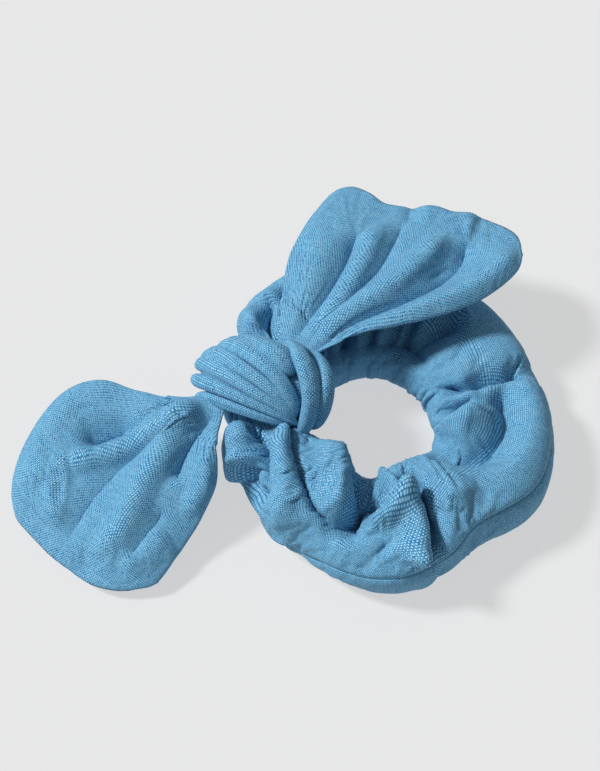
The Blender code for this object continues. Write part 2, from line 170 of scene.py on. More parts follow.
def weave_of(grid):
    """Cloth coordinates in millimetres, from the grid's first row and its middle column."""
    along = np.linalg.norm(np.diff(grid, axis=0), axis=2).mean(axis=1)
    across = np.linalg.norm(np.diff(grid, axis=1), axis=2)
    reach = 9  # rows on each side over which the widths are averaged
    padded = np.pad(across, ((reach, reach), (0, 0)), mode="edge")
    across = np.mean([padded[k:k + len(grid)] for k in range(2 * reach + 1)], axis=0)
    u = np.r_[0, np.cumsum(along)][:, None] + np.zeros(grid.shape[:2])
    v = np.hstack([np.zeros((len(grid), 1)), np.cumsum(across, axis=1)])
    return np.stack([u, v - v[:, grid.shape[1] // 2][:, None]], axis=2)


def grid_normals(grid):
    du = np.gradient(grid, axis=0)
    dv = np.gradient(grid, axis=1)
    n = np.cross(du, dv)
    return n / np.maximum(np.linalg.norm(n, axis=2, keepdims=True), 1e-9)


# --- meshes --------------------------------------------------------------------

def grid_faces(rows, columns, start=0, wrap=False):
    faces = []
    for i in range(rows - 1):
        for j in range(columns if wrap else columns - 1):
            k = (j + 1) % columns
            faces.append((start + i * columns + j, start + i * columns + k,
                          start + (i + 1) * columns + k, start + (i + 1) * columns + j))
    return faces


def place(name, points, faces, uv):
    """A smooth mesh object from points in millimetres round the hole. uv is in millimetres."""
    mesh = bpy.data.meshes.new(name)
    mesh.from_pydata(((np.asarray(points) + HOLE) * MM).tolist(), [], faces)
    mesh.validate()
    mesh.shade_smooth()
    layer = mesh.uv_layers.new(name="cloth")
    corner = np.empty(len(mesh.loops), int)
    mesh.loops.foreach_get("vertex_index", corner)
    layer.data.foreach_set("uv", (np.asarray(uv)[corner] * UV_PER_MM).ravel())
    made = bpy.data.objects.new(name, mesh)
    bpy.context.scene.collection.objects.link(made)
    return made


def apply_modifiers(obj):
    graph = bpy.context.evaluated_depsgraph_get()
    mesh = bpy.data.meshes.new_from_object(obj.evaluated_get(graph), depsgraph=graph)
    old = obj.data
    obj.modifiers.clear()
    obj.data = mesh
    bpy.data.meshes.remove(old)
    obj.data.shade_smooth()


def relax(points, faces, pins, frames, grow, distance):
    """The points after Blender's cloth has settled them, grown by this share.

    pins is how firmly each point is held, 0 to 1. distance is how far layers stay apart, in mm.
    """
    scale = 0.01  # a millimetre is a centimetre in the simulation, where cloth settings behave
    mesh = bpy.data.meshes.new("relaxing")
    mesh.from_pydata((np.asarray(points) * scale).tolist(), [], faces)
    obj = bpy.data.objects.new("relaxing", mesh)
    bpy.context.scene.collection.objects.link(obj)
    group = obj.vertex_groups.new(name="pins")
    for level in np.unique(np.round(pins, 2)):
        if level > 0:
            group.add(np.flatnonzero(np.round(pins, 2) == level).tolist(), float(level), "REPLACE")
    cloth = obj.modifiers.new("cloth", "CLOTH")
    settings = cloth.settings
    settings.vertex_group_mass = "pins"
    settings.quality = 5
    settings.mass = 0.2
    settings.tension_stiffness = settings.compression_stiffness = 30
    settings.shear_stiffness = 8
    settings.bending_stiffness = CLOTH_BENDING
    settings.tension_damping = settings.compression_damping = settings.shear_damping = 15
    settings.bending_damping = 2
    settings.air_damping = 4
    settings.shrink_min = -grow
    settings.effector_weights.gravity = 0.0
    cloth.collision_settings.use_collision = False
    cloth.collision_settings.use_self_collision = True
    cloth.collision_settings.self_distance_min = distance * scale
    cloth.collision_settings.self_friction = 5
    cloth.point_cache.frame_start, cloth.point_cache.frame_end = 1, frames
    scene = bpy.context.scene
    for number in range(1, frames + 1):
        scene.frame_set(number)
    graph = bpy.context.evaluated_depsgraph_get()
    settled = obj.evaluated_get(graph).to_mesh()
    co = np.empty(len(settled.vertices) * 3, np.float32)
    settled.vertices.foreach_get("co", co)
    scene.frame_set(1)
    bpy.data.objects.remove(obj)
    bpy.data.meshes.remove(mesh)
    return co.reshape(-1, 3).astype(float) / scale


def refined(grid):
    """The grid with a point added halfway between every two, both ways."""
    for axis in (0, 1):
        grid = np.moveaxis(grid, axis, 0)
        fine = np.repeat(grid, 2, axis=0)[:-1]
        fine[1::2] = (grid[:-1] + grid[1:]) / 2
        grid = np.moveaxis(fine, 0, axis)
    return grid


def capped(moves, most):
    """The moves, none of them longer than most."""
    length = np.linalg.norm(moves, axis=1, keepdims=True)
    return moves * np.minimum(1, most / np.maximum(length, 1e-9))


# --- materials -----------------------------------------------------------------

class Nodes:
    """Short calls for building a material's nodes."""

    def __init__(self, name):
        self.material = bpy.data.materials.new(name)
        self.material.use_nodes = True
        self.tree = self.material.node_tree
        self.shader = self.tree.nodes["Principled BSDF"]

    def link(self, source, target):
        if isinstance(source, (int, float)):
            target.default_value = source
        else:
            self.tree.links.new(source, target)

    def math(self, operation, a, b=0.0, c=0.0):
        node = self.tree.nodes.new("ShaderNodeMath")
        node.operation = operation
        for value, socket in zip((a, b, c), node.inputs):
            self.link(value, socket)
        return node.outputs[0]

    def noise(self, vector, scale, detail=2.0, roughness=0.5):
        node = self.tree.nodes.new("ShaderNodeTexNoise")
        self.link(vector, node.inputs["Vector"])
        node.inputs["Scale"].default_value = scale
        node.inputs["Detail"].default_value = detail
        node.inputs["Roughness"].default_value = roughness
        return node.outputs["Fac"]

    def random(self, *parts):
        node = self.tree.nodes.new("ShaderNodeTexWhiteNoise")
        node.noise_dimensions = "3D"
        self.link(self.join(*parts), node.inputs["Vector"])
        return node.outputs["Value"]

    def join(self, x, y=0.0, z=0.0):
        node = self.tree.nodes.new("ShaderNodeCombineXYZ")
        for value, socket in zip((x, y, z), node.inputs):
            self.link(value, socket)
        return node.outputs[0]

    def mix(self, factor, a, b):
        node = self.tree.nodes.new("ShaderNodeMix")
        node.data_type = "RGBA"
        self.link(factor, node.inputs[0])
        for value, socket in ((a, node.inputs[6]), (b, node.inputs[7])):
            if isinstance(value, tuple):
                socket.default_value = (*value, 1.0)
            else:
                self.link(value, socket)
        return node.outputs[2]


def woven(name, warp, weft, pale, groove):
    """A plain weave on the cloth's own UV map: threads over and under, slubs and pale flecks, with painted shade
    in the gaps between the threads and painted highlight on their crowns.
    """
    sway = 2.6  # threads, how far the weave wanders
    slub = 0.09  # one over the length of a slub, in threads
    relief = 0.14
    n = Nodes(name)
    uv = n.tree.nodes.new("ShaderNodeUVMap")
    uv.uv_map = "cloth"
    split = n.tree.nodes.new("ShaderNodeSeparateXYZ")
    n.link(uv.outputs["UV"], split.inputs[0])
    threads_per_uv = 1 / UV_PER_MM / THREAD_PITCH
    sway_u = n.noise(uv.outputs["UV"], 9.0, 1.0)
    sway_v = n.noise(n.join(split.outputs[1], split.outputs[0], 3.7), 9.0, 1.0)
    u = n.math("MULTIPLY_ADD", split.outputs[0], threads_per_uv, n.math("MULTIPLY", sway_u, sway))
    v = n.math("MULTIPLY_ADD", split.outputs[1], threads_per_uv, n.math("MULTIPLY", sway_v, sway))
    column, row = n.math("FLOOR", u), n.math("FLOOR", v)
    across, along = n.math("FRACT", u), n.math("FRACT", v)
    odd = n.math("FLOORED_MODULO", n.math("ADD", column, row), 2.0)
    bow_u = n.math("SINE", n.math("MULTIPLY", across, math.pi))
    bow_v = n.math("SINE", n.math("MULTIPLY", along, math.pi))
    warp_top = n.math("MULTIPLY", n.math("POWER", bow_u, 0.7), n.math("MULTIPLY_ADD", bow_v, 0.55, 0.45))
    weft_top = n.math("MULTIPLY", n.math("POWER", bow_v, 0.7), n.math("MULTIPLY_ADD", bow_u, 0.55, 0.45))
    gap = n.math("SUBTRACT", weft_top, warp_top)
    height = n.math("MULTIPLY_ADD", gap, odd, warp_top)
    warp_shade = n.random(column, n.math("FLOOR", n.math("MULTIPLY", v, slub)), 1.0)
    weft_shade = n.random(n.math("FLOOR", n.math("MULTIPLY", u, slub)), row, 2.0)
    fleck = n.random(column, row, 5.0)
    thread_shade = n.math("MULTIPLY_ADD", n.math("SUBTRACT", weft_shade, warp_shade), odd, warp_shade)
    colour = n.mix(odd, warp, weft)
    lightness = n.math("MULTIPLY_ADD", thread_shade, 0.36, n.math("MULTIPLY", fleck, 0.52))
    # slubs and flecks are the yarn's own random tone; weighting them by the thread height makes the crowns paler,
    # which is painted highlight
    lightness = n.math("MULTIPLY", lightness, n.math("MULTIPLY_ADD", height, 0.8, 0.2))
    colour = n.mix(lightness, colour, pale)
    # painted shade: the very dark groove colour is mixed in where the threads dip, for the shade in the gaps
    # between them
    colour = n.mix(n.math("MULTIPLY", n.math("SUBTRACT", 1.0, height), 0.95), colour, groove)
    patch = n.noise(uv.outputs["UV"], 3.0, 3.0)
    colour = n.mix(n.math("MULTIPLY", patch, 0.16), colour, tuple(c * 0.72 for c in warp))
    n.link(colour, n.shader.inputs["Base Color"])
    n.link(n.math("MULTIPLY_ADD", thread_shade, 0.12, 0.78), n.shader.inputs["Roughness"])
    n.shader.inputs["Sheen Weight"].default_value = 0.10
    n.shader.inputs["Sheen Roughness"].default_value = 0.45
    n.shader.inputs["Sheen Tint"].default_value = (0.55, 0.78, 1.0, 1.0)
    n.shader.inputs["Specular IOR Level"].default_value = 0.15
    bump = n.tree.nodes.new("ShaderNodeBump")
    bump.inputs["Strength"].default_value = 0.29
    bump.inputs["Distance"].default_value = relief * MM
    crumple = n.noise(uv.outputs["UV"], 26.0, 3.0)
    n.link(n.math("MULTIPLY_ADD", crumple, 1.2, height), bump.inputs["Height"])
    n.link(bump.outputs[0], n.shader.inputs["Normal"])
    return n.material


def spun(name, colour):
    """Sewing thread: two plies twisted round each other, with painted shade in the grooves between them, and a
    little fuzz.
    """
    n = Nodes(name)
    place_in = n.tree.nodes.new("ShaderNodeTexCoord").outputs["Object"]
    split = n.tree.nodes.new("ShaderNodeSeparateXYZ")
    n.link(place_in, split.inputs[0])
    lean = n.math("ADD", n.math("ADD", split.outputs[0], split.outputs[1]), split.outputs[2])
    twist_per_metre = 9000.0  # radians
    twist = n.math("SINE", n.math("MULTIPLY", lean, twist_per_metre))
    fuzz = n.noise(place_in, 4000.0, 3.0)
    # painted shade: the twist darkens the grooves between the plies; the fuzz is the thread's own uneven tone
    shade = n.math("MULTIPLY_ADD", twist, 0.25, n.math("MULTIPLY", fuzz, 0.6))
    n.link(n.mix(shade, tuple(c * 0.5 for c in colour), colour), n.shader.inputs["Base Color"])
    n.shader.inputs["Roughness"].default_value = 0.62
    bump = n.tree.nodes.new("ShaderNodeBump")
    bump.inputs["Distance"].default_value = 0.05 * MM
    n.link(shade, bump.inputs["Height"])
    n.link(bump.outputs[0], n.shader.inputs["Normal"])
    return n.material


def knitted_elastic(name):
    """Flat white elastic: ribs along it, crossed by fine knit rows, painted darker in the dips between them as
    shade.
    """
    n = Nodes(name)
    place_in = n.tree.nodes.new("ShaderNodeTexCoord").outputs["Object"]
    split = n.tree.nodes.new("ShaderNodeSeparateXYZ")
    n.link(place_in, split.inputs[0])
    rib_pitch = 0.75 * MM
    rows_round = 300.0
    rib = n.math("SINE", n.math("MULTIPLY", split.outputs[2], 2 * math.pi / rib_pitch))
    turn = n.math("ARCTAN2", n.math("SUBTRACT", split.outputs[1], float(HOLE[1] * MM)),
                  n.math("SUBTRACT", split.outputs[0], float(HOLE[0] * MM)))
    row = n.math("SINE", n.math("MULTIPLY", turn, rows_round))
    height = n.math("MULTIPLY_ADD", row, 0.35, rib)
    # painted shade: the white is darker in the dips between ribs and rows and lighter on their crowns
    shade = n.math("MULTIPLY_ADD", height, 0.18, 0.6)
    n.link(n.mix(shade, (0.52, 0.52, 0.50), (0.86, 0.86, 0.83)), n.shader.inputs["Base Color"])
    n.shader.inputs["Roughness"].default_value = 0.8
    bump = n.tree.nodes.new("ShaderNodeBump")
    bump.inputs["Distance"].default_value = 0.12 * MM
    n.link(height, bump.inputs["Height"])
    n.link(bump.outputs[0], n.shader.inputs["Normal"])
    return n.material


# groove is the colour of the painted shade between the threads
CLOTH = woven("woven_blue", warp=(0.002, 0.120, 0.370), weft=(0.230, 0.720, 1.000), pale=(0.46, 0.84, 1.00),
              groove=(0.001, 0.030, 0.110))
THREAD = spun("blue_thread", (0.10, 0.28, 0.46))
ELASTIC = knitted_elastic("white_elastic")


# --- the ring ------------------------------------------------------------------

# The tube's outer edge, its hole, its top and its seam, as (degrees, millimetres).
RING_OUTER = [(0, 57.0), (30, 57.5), (53, 61.0), (95, 65.0), (120, 67.5), (137, 64.0), (163, 50.0),
              (184, 47.0), (205, 46.5), (240, 47.5), (275, 54.0), (295, 52.0), (310, 49.0), (333, 56.5)]
RING_HOLE = [(0, 20.5), (45, 21.5), (90, 24.0), (130, 24.5), (163, 25.5),
             (200, 17.5), (225, 15.0), (258, 18.0), (285, 14.5), (316, 16.5), (335, 20.0)]
RING_TOP = [(0, 26.6), (30, 24.8), (60, 23.6), (95, 23.6), (125, 24.0), (190, 27.0), (235, 27.0),
            (300, 28.0)]
SEAM = [(5, 16.0), (30, 13.0), (60, 11.0), (90, 10.0), (180, 8.0), (222, 8.0), (250, 14.0), (262, 15.5),
        (275, 17.5), (300, 19.5), (325, 21.5), (345, 19.0)]
SEAM_HALF_GAP = 0.40
RING_ROUND = 421
RING_ACROSS = 149
ALLOWANCE = 8  # columns of the strip turned in at each lip of the seam
ALLOWANCE_DEPTH = 5.0
RING_WEAVE = (400.0, 98.0)  # mm of weave stretched over the strip, along and across
RING_FOLD_STRENGTH = 1.6
RING_LOOSE = 0.10  # how firmly the free cloth is held while it settles
RING_MOST = 1.2  # mm that a point may settle
TABLE_GAP = 0.5

# The squeezed tube under the knot.
NECK_HALF = 10.0
NECK_BASE = 4.6
NECK_TOP = 20.6
NECK_SEAM = 11.0

# Creases and ridges of the ring as (degrees, radius) lines.
RING_FOLDS = [
    # the lobe that comes out from under the knot, and the crease down its middle
    Fold(-9.0, 3.4, polar([(178, 33), (190, 36), (202, 39), (212, 43), (220, 47)]), fade=0.12),
    Fold(3.6, 4.6, polar([(174, 29), (199, 33.5), (214, 37), (228, 42), (240, 47)])),
    Fold(-4.0, 1.2, polar([(172, 28), (192, 28), (214, 31), (234, 37), (247, 43), (254, 49)]), sharp=1.2),
    Fold(-1.6, 4.0, polar([(196, 22), (214, 25), (230, 30), (238, 34)])),
    Fold(3.6, 4.0, polar([(200, 18), (224, 22), (240, 27), (247, 34), (250, 43)]), lean=1.6),
    # the pocket behind the lobe
    Fold(-5.5, 2.4, polar([(180, 37), (190, 40), (199, 43)]), fade=0.2),
    Fold(3.0, 4.0, polar([(179, 43), (190, 44), (202, 46)])),
    Fold(-4.0, 2.4, polar([(198, 48), (206, 45), (214, 44)]), sharp=1.3),
    # the deep crease at the notch
    Fold(-11.0, 3.0, polar([(252, 16), (255, 21), (258, 29), (257, 37), (254, 48)]), fade=0.10, sharp=1.2),
    # the curl
    Fold(3.6, 2.2, polar([(262, 19), (272, 22), (281, 27), (280, 34), (273, 38), (264, 38)]), fade=0.15),
    Fold(-8.5, 2.6, polar([(262, 26), (268, 29), (274, 32)]), fade=0.25),
    # the big fold from the curl to the hem, and the deep shade beside it
    Fold(4.2, 3.4, polar([(282, 27), (285, 33), (286, 39), (284, 46), (280, 52)]), lean=2.4, fade=0.15),
    Fold(-11.0, 3.2, polar([(295, 19), (291, 24), (291, 31), (291, 38), (289, 46), (286, 52)]),
         fade=0.12, sharp=1.2),
    Fold(-2.0, 5.0, polar([(264, 40), (270, 44), (274, 49)])),
    Fold(2.5, 9.0, polar([(312, 20), (306, 30), (303, 42)])),
    # the mushroom fold on the right and the soft hollow round it
    Fold(-6.0, 4.4, polar([(330, 18), (327, 25), (330, 32), (342, 37), (356, 40), (8, 41), (18, 38)]),
         fade=0.12),
    Fold(3.4, 4.6, polar([(345, 18), (353, 25), (1, 31), (9, 34)]), lean=0.5),
    Fold(-5.0, 1.9, polar([(357, 18), (3, 22), (9, 26), (15, 31)]), sharp=1.3),
    Fold(2.4, 3.2, polar([(20, 18), (21, 24), (20, 30), (20, 35)]), lean=-0.4),
    Fold(-5.5, 2.3, polar([(38, 19), (33, 24), (24, 30), (24, 37), (21, 46), (21, 57)]),
         sharp=1.3, fade=0.1),
    # the gathers under the upper ear
    Fold(-6.5, 4.6, polar([(66, 22), (65, 32), (58, 42), (52, 50)]), fade=0.15),
    Fold(-6.0, 2.4, polar([(76, 19), (74, 28), (72, 38), (70, 50)]), fade=0.15, sharp=1.3),
    Fold(-6.0, 2.4, polar([(87, 19), (82, 28), (78, 40), (80, 54)]), fade=0.15, sharp=1.3),
    Fold(-5.5, 2.4, polar([(99, 19), (93, 28), (90, 40), (92, 58)]), fade=0.15, sharp=1.3),
    Fold(-6.0, 2.8, polar([(113, 20), (107, 30), (103, 42), (104, 60)]), fade=0.15, sharp=1.3),
    Fold(-5.5, 2.8, polar([(129, 22), (121, 32), (117, 44), (113, 60)]), fade=0.15, sharp=1.3),
    # the folds behind the knot
    Fold(-7.0, 3.0, polar([(150, 34), (139, 42), (134, 50), (130, 58), (125, 64)]), fade=0.12, sharp=1.4),
    Fold(-4.0, 2.2, polar([(150, 44), (141, 50), (137, 57)]), sharp=1.3),
    Fold(-4.5, 2.4, polar([(128, 50), (122, 58), (118, 66)]), sharp=1.3),
]


def ring_section(degrees):
    """Middle radius, half width, base, top and seam height of the tube at these angles."""
    away = (degrees - KNOT_ANGLE + 180) % 360 - 180
    tight = np.where(away > 0, 1 - smooth((away - 13) / 14), 1 - smooth((-away - 13) / 16))
    hole = stations(RING_HOLE, degrees) * (1 - tight) + (NECK_RADIUS - NECK_HALF) * tight
    outer = stations(RING_OUTER, degrees) * (1 - tight) + (NECK_RADIUS + NECK_HALF) * tight
    base = NECK_BASE * tight
    top = stations(RING_TOP, degrees) * (1 - tight) + NECK_TOP * tight
    seam = stations(SEAM, degrees) * (1 - tight) + NECK_SEAM * tight
    return (hole + outer) / 2, (outer - hole) / 2, base, top, seam


def ring_grid():
    """The strip of cloth round the ring, rows along it, columns from the seam's upper lip to its lower."""
    degrees = np.linspace(KNOT_ANGLE + 1.0, KNOT_ANGLE + 359.0, RING_ROUND)
    middle, half, base, top, seam = ring_section(degrees)
    centre, rise = (base + top) / 2, (top - base) / 2
    round_rise = rise + 1  # a little more, cut off at the base, so that the tube lies flat
    angle_high = np.arcsin(np.clip((seam + SEAM_HALF_GAP - centre) / round_rise, -1, 1))
    angle_low = np.arcsin(np.clip((seam - SEAM_HALF_GAP - centre) / round_rise, -1, 1))
    share = np.linspace(0, 1, RING_ACROSS - 2 * ALLOWANCE)
    turn = angle_high[:, None] + (2 * np.pi + angle_low - angle_high)[:, None] * share[None]
    power = 2 / 2.5  # between an ellipse and a box
    c, s = np.cos(turn), np.sin(turn)
    r = middle[:, None] + np.sign(c) * np.abs(c) ** power * half[:, None]
    z = centre[:, None] + np.sign(s) * np.abs(s) ** power * round_rise[:, None]
    z = np.maximum(z, base[:, None])
    inward = np.linspace(ALLOWANCE_DEPTH, 0.4, ALLOWANCE)[None]
    r = np.hstack([r[:, :1] - inward, r, r[:, -1:] - inward[:, ::-1]])
    z = np.hstack([np.repeat(z[:, :1], ALLOWANCE, axis=1), z, np.repeat(z[:, -1:], ALLOWANCE, axis=1)])
    a = np.radians(degrees)[:, None]
    return np.stack([r * np.cos(a), r * np.sin(a), z], axis=2), degrees


def outward_normals(grid, degrees):
    """The grid's normals, turned away from the tube's middle line."""
    normal = grid_normals(grid).reshape(-1, 3)
    middle, _, base, top, _ = ring_section(degrees)
    centre = np.stack([middle * np.cos(np.radians(degrees)), middle * np.sin(np.radians(degrees)),
                       (base + top) / 2], axis=1)
    away = grid.reshape(-1, 3) - np.repeat(centre, grid.shape[1], axis=0)
    return np.where((np.sum(away * normal, axis=1) < 0)[:, None], -normal, normal)


def ring_mask(points, normal, rows, columns):
    """How much of a fold each point takes: all on top, little on the inner wall, none below."""
    column = np.tile(np.arange(columns), rows)
    on_skin = smooth((column - ALLOWANCE) / 4) * smooth((columns - 1 - ALLOWANCE - column) / 4)
    upper = smooth((normal[:, 2] + 0.75) / 0.55) * smooth((points[:, 2] - 3.0) / 8.0)
    inward = -np.sum(normal[:, :2] * points[:, :2], axis=1) / np.linalg.norm(points[:, :2], axis=1)
    turn = np.degrees(np.arctan2(points[:, 1], points[:, 0]))
    under_ear = (turn > 60) & (turn < 132)  # the gathers there reach further down the wall
    hold = np.where(under_ear, 0.83, 0.88)
    inner_wall = 1 - hold * smooth((inward - 0.45) / 0.4) * smooth((24 - points[:, 2]) / 6)
    return upper * on_skin * inner_wall


def settle_ring(shaped, rows, columns):
    """The ring's points after the cloth has settled on every second row and column."""
    coarse = shaped.reshape(rows, columns, 3)[::2, ::2]
    r, c = coarse.shape[:2]
    row, column = np.meshgrid(np.arange(r), np.arange(c), indexing="ij")
    at_seam = (column < ALLOWANCE / 2 + 1) | (column > c - 2 - ALLOWANCE / 2)
    at_end = (row < 3) | (row > r - 4)
    on_table = coarse[..., 2] < 1.0
    hold = np.where(at_seam | at_end | on_table, 1.0, RING_LOOSE)
    start = coarse.reshape(-1, 3)
    settled = relax(start, grid_faces(r, c), hold.ravel(), frames=12, grow=0.022, distance=0.7)
    moves = capped(settled - start, RING_MOST).reshape(r, c, 3)
    return shaped + refined(moves).reshape(-1, 3)


def build_ring():
    grid, degrees = ring_grid()
    rows, columns = grid.shape[:2]
    flat = grid.reshape(-1, 3)
    normal = outward_normals(grid, degrees)
    mask = ring_mask(flat, normal, rows, columns)
    shaped = shape(flat, normal, flat[:, :2], RING_FOLDS, mask, RING_FOLD_STRENGTH)
    shaped[:, 2] = np.maximum(shaped[:, 2], TABLE_GAP)
    shaped = settle_ring(shaped, rows, columns)
    shaped[:, 2] = np.maximum(shaped[:, 2], TABLE_GAP)
    length = np.linspace(0, RING_WEAVE[0], rows)
    width = np.linspace(0, RING_WEAVE[1], columns)
    uv = np.stack(np.meshgrid(length, width, indexing="ij"), axis=2).reshape(-1, 2)
    ring = place("ring_cover_cloth", shaped, grid_faces(rows, columns), uv)
    thick = ring.modifiers.new("cloth_thickness", "SOLIDIFY")
    thick.thickness = CLOTH_THICKNESS * MM
    thick.offset = -1.0
    apply_modifiers(ring)
    ring.data.materials.append(CLOTH)
    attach(ring, "ring")
    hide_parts("ring_cover", "ring_seam_thread")


# --- the ears ------------------------------------------------------------------

class Ear:
    """An ear's outline, lie and folds in its own frame: along from its lift axis, left, up.

    lie holds the height of the ear's left edge, middle and right edge at shares of its length. crown is how
    far its face is puffed up. flat, the size of each panel as cut in metres, is not used.
    """

    def __init__(self, name, left, far, right, lie, folds, crown, flat):
        self.name = name
        self.left = left
        self.far = far
        self.right = right
        self.lie = lie
        self.folds = folds
        self.crown = crown
        self.flat = flat
        joint = JOINTS[f"{name}_ear_lift"]
        self.origin = np.array(joint["pos_m"]) / MM - HOLE
        axis = np.array(joint["axis"], float)
        self.along = np.array([-axis[1], axis[0], 0.0])
        self.side = np.cross(UP, self.along)

    def world(self, local):
        local = np.asarray(local, float)
        return (self.origin + local[:, :1] * self.along + local[:, 1:2] * self.side
                + local[:, 2:3] * UP)


EAR_LONG = 96
EAR_WIDE = 110
EAR_FOLD_STRENGTH = 0.9
EAR_RIM = 0.55  # mm, how far the face stands off just inside the sewn edge
EAR_BACK = 0.45  # the back panel's puff as a share of the face panel's
EAR_HELD_TO = 6.0  # mm along the ear, up to which it is held by the knot
EAR_LOOSE = 0.12
EAR_MOST = 0.8  # mm that a point may settle
EAR_LOWEST = 0.8
BACK_WEAVE = 120  # mm of weave between the two panels' patterns

UPPER = Ear(
    "upper",
    left=[(-7.0, 6.5), (0, 11), (8, 18.5), (22, 27), (37, 31.5), (48, 33.5), (54, 33)],
    far=[(54, 33), (58, 29.5), (59.5, 23), (59.5, 16), (63.5, 8), (68, 1), (70, -5), (74.5, -12),
         (76.5, -20), (76, -28), (71, -34)],
    right=[(-7.0, -4.5), (0, -6.0), (12, -14), (27, -25), (42, -33), (54, -36.5), (64, -37), (71, -34)],
    lie=[(0.0, 0.0, 0.0, 0.0), (0.5, 0.5, 2.6, 2.6), (1.0, -3.0, 1.0, 2.6)],
    folds=[
        Fold(2.4, 9.0, [(0, 8), (18, 15), (38, 22), (56, 24)]),
        Fold(-5.2, 3.0, [(-6, 3.4), (10, 4.2), (22, 6.0), (33, 9.5), (44, 15)], fade=0.18, sharp=1.3),
        Fold(2.8, 3.0, [(-6, 1.6), (12, 0.8), (26, 2.8), (38, 6), (52, 11)], fade=0.2),
        Fold(-4.0, 2.4, [(-6, -0.4), (8, -0.8), (20, -1.4), (34, -1.5), (48, 2), (58, 6)], fade=0.18,
             sharp=1.3),
        Fold(4.0, 3.8, [(-6, -1.4), (12, -3.5), (26, -7.5), (38, -10), (52, -9.5), (64, -5)], fade=0.18),
        Fold(-5.8, 2.8, [(-6, -2.6), (14, -8.8), (28, -14.8), (42, -19.5), (56, -20), (66, -14)], fade=0.12,
             sharp=1.2),
        Fold(-2.5, 6.0, [(40, -14), (54, -17), (66, -14)], fade=0.3),
        Fold(5.4, 4.8, [(-6, -4.5), (12, -12.4), (28, -21.3), (44, -28.6), (60, -32), (72, -30)],
             fade=0.12),
        Fold(-1.6, 2.5, [(56, 2), (60, 6), (66, 8)], fade=0.3),
        Fold(2.2, 7.0, [(60, 4), (68, -6), (72, -16)]),
    ],
    crown=1.6, flat=(0.066, 0.080))

LOWER = Ear(
    "lower",
    left=[(-6.0, 3.5), (-1, 6), (5, 10.6), (9, 16), (14, 20.5), (22, 23.5), (31, 25.5), (41, 27.5),
          (47, 28)],
    far=[(47, 28), (51, 26.5), (58, 21), (63, 13), (65, 4), (66, -3), (66, -14), (65, -22), (61.5, -28)],
    right=[(-6.0, -4.0), (0, -6), (5, -12), (10, -22), (15, -33), (21, -39), (29, -41.5), (39, -40.5),
           (49, -37.5), (56, -33.5), (61.5, -28)],
    lie=[(0.0, 0.0, 0.0, 0.0), (0.25, -4.0, -3.0, -3.5), (0.6, -14.0, -11.5, -12.0),
         (1.0, -22.0, -22.0, -22.5)],
    folds=[
        Fold(-6.5, 5.0, [(15, -13), (22, -17), (30, -21), (37, -24)], fade=0.3),
        Fold(-3.0, 2.0, [(12, -9), (20, -13), (28, -17), (37, -21.5)], fade=0.3, sharp=1.2),
        Fold(3.8, 2.4, [(-2, -1.5), (10, -4.6), (18, -7.6), (27, -11.6), (36, -16.5), (43, -22)], fade=0.15),
        Fold(3.4, 6.5, [(10, -22), (16, -31), (27, -35.5), (40, -34), (50, -28), (59, -16)]),
        Fold(2.4, 3.2, [(38, -24), (44, -22), (52, -16), (60, -8)]),
        Fold(-3.6, 5.0, [(14, -4), (28, -6.5), (42, -6.5), (54, -4), (62, 0)]),
        Fold(4.0, 3.8, [(0, -0.5), (12, -1.0), (23, 0.8), (35, 5), (48, 9), (62, 8)], fade=0.2),
        Fold(-7.0, 3.4, [(-4, 2), (4, 4), (12, 5), (19, 8), (23, 12)], fade=0.2, sharp=1.3),
        Fold(-2.4, 3.0, [(28, 12), (38, 15), (50, 17)]),
        Fold(4.2, 3.6, [(-2, 5), (5, 10), (12, 15), (20, 19), (29, 21)], fade=0.2),
        Fold(2.4, 7.0, [(34, 21), (44, 20), (54, 17)]),
    ],
    crown=2.0, flat=(0.072, 0.072))


def ear_patch(ear):
    """The flat ear's points: rows from the root outwards, columns from the right edge to the left."""
    left, right = through(ear.left, EAR_LONG), through(ear.right, EAR_LONG)
    far = through(ear.far[::-1], EAR_WIDE)
    root = np.linspace(right[0], left[0], EAR_WIDE)
    s = np.linspace(0, 1, EAR_LONG)[:, None, None]
    t = np.linspace(0, 1, EAR_WIDE)[None, :, None]
    corners = ((1 - s) * (1 - t) * root[0] + (1 - s) * t * root[-1]
               + s * (1 - t) * far[0] + s * t * far[-1])
    return (1 - s) * root[None] + s * far[None] + (1 - t) * right[:, None] + t * left[:, None] - corners


def lie_height(ear, s, t):
    """Height of the ear's middle at this share of its length and across, t from 0 right to 1 left."""
    x = [row[0] for row in ear.lie]
    left, centre, right = (np.interp(s, x, [row[k] for row in ear.lie]) for k in (1, 2, 3))
    across = 2 * t - 1
    edge = np.where(across > 0, left, right)
    return centre + (edge - centre) * across**2


def ear_middle(ear):
    """The folded middle layer of the ear, and how far its face stands off it."""
    plan = ear_patch(ear)
    rows, columns = plan.shape[:2]
    plan = plan.reshape(-1, 2)
    s, t = np.meshgrid(np.linspace(0, 1, rows), np.linspace(0, 1, columns), indexing="ij")
    middle = np.column_stack([plan, lie_height(ear, s, t).ravel()])
    up = np.tile(UP, (len(plan), 1))
    root = smooth((plan[:, 0] + 6) / 16)
    middle = shape(middle, up, plan, ear.folds, root, EAR_FOLD_STRENGTH)
    edge = np.minimum(np.minimum(t, 1 - t) * columns, (1 - s) * rows).ravel()
    puff = (ear.crown * smooth(edge / 26) * smooth(s.ravel() / 0.2)
            + EAR_RIM * np.sqrt(smooth(edge / 2.2)))
    return middle.reshape(rows, columns, 3), puff[:, None]


def pouch_faces(rows, columns):
    """Faces of two grids that share their rim."""
    count = rows * columns
    index = np.arange(count).reshape(rows, columns)
    rim = np.ones((rows, columns), bool)
    rim[1:-1, 1:-1] = False
    back = np.where(rim, index, index + count)
    faces = grid_faces(rows, columns)
    for i in range(rows - 1):
        for j in range(columns - 1):
            faces.append((back[i, j], back[i + 1, j], back[i + 1, j + 1], back[i, j + 1]))
    return faces, index[rim]


